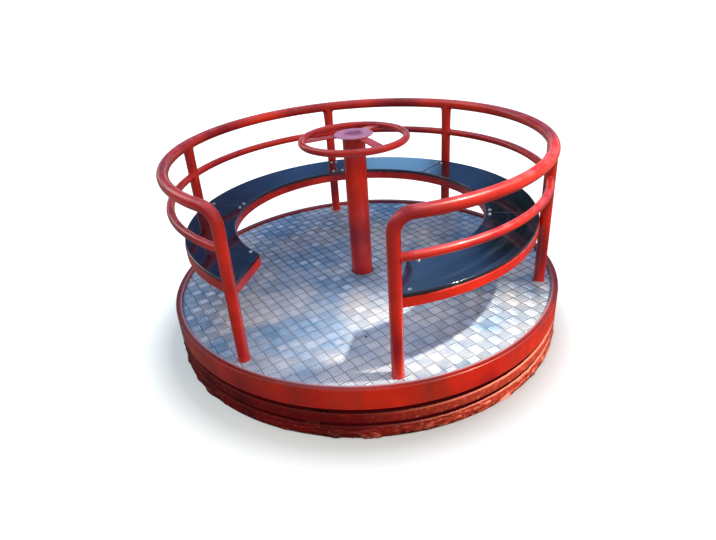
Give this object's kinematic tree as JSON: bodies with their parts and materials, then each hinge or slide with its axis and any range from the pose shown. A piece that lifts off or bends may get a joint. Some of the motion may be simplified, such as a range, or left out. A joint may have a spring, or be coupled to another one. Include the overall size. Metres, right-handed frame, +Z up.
{
  "type": "playground roundabout",
  "caption": "Playground roundabout: a turning chequer-plate platform with a ring bench and a tubular guard rail, round a fixed column with a hand wheel.",
  "frame": {"origin": "centre of the fixed ground ring, on the ground", "axes": "+Z up along the column; the gateway in the guard rail faces -Y"},
  "size_m": [1.6, 1.6, 0.7895],
  "materials": {
    "red_paint": "gloss",
    "base_paint": "weathered",
    "underframe_paint": "matte",
    "worn_paint": "worn",
    "chequer_plate": "rolled",
    "black_board": "gloss"
  },
  "bodies": {
    "base": {"base_ring_lower": "base_paint", "base_ring_upper": "base_paint", "base_arm_right": "underframe_paint", "base_arm_back": "underframe_paint", "base_arm_left": "underframe_paint", "base_arm_front": "underframe_paint", "bearing_pedestal": "underframe_paint", "centre_column": "red_paint", "hub_plate": "worn_paint", "wheel_ring": "red_paint", "wheel_spoke_1": "red_paint", "wheel_spoke_2": "red_paint", "wheel_spoke_3": "red_paint"},
    "platform": {"rim_skirt": "red_paint", "deck_plate": "chequer_plate", "platform_hub": "underframe_paint", "deck_arm_1": "underframe_paint", "deck_arm_2": "underframe_paint", "deck_arm_3": "underframe_paint", "deck_arm_4": "underframe_paint", "guard_rail_left": "red_paint", "guard_rail_right": "red_paint", "post_right": "red_paint", "post_back_right": "red_paint", "post_back_left": "red_paint", "post_left": "red_paint", "mid_rail_front_right": "red_paint", "mid_rail_back_right": "red_paint", "mid_rail_back": "red_paint", "mid_rail_back_left": "red_paint", "mid_rail_front_left": "red_paint", "seat_board_front_right": "black_board", "seat_board_back_right": "black_board", "seat_board_back": "black_board", "seat_board_back_left": "black_board", "seat_board_front_left": "black_board", "seat_inner_bar_right": "red_paint", "seat_inner_bar_left": "red_paint", "seat_outer_bar_right": "red_paint", "seat_outer_bar_left": "red_paint", "seat_end_bar_left": "red_paint", "seat_end_bar_right": "red_paint", "seat_bracket_right": "red_paint", "seat_bracket_back_right": "red_paint", "seat_bracket_back_left": "red_paint", "seat_bracket_left": "red_paint"}
  },
  "joints": [
    {"name": "platform_spin", "type": "hinge", "parent": "base", "child": "platform", "pos_m": [0, 0, 0.1], "axis": [0, 0, 1], "continuous": true}
  ]
}
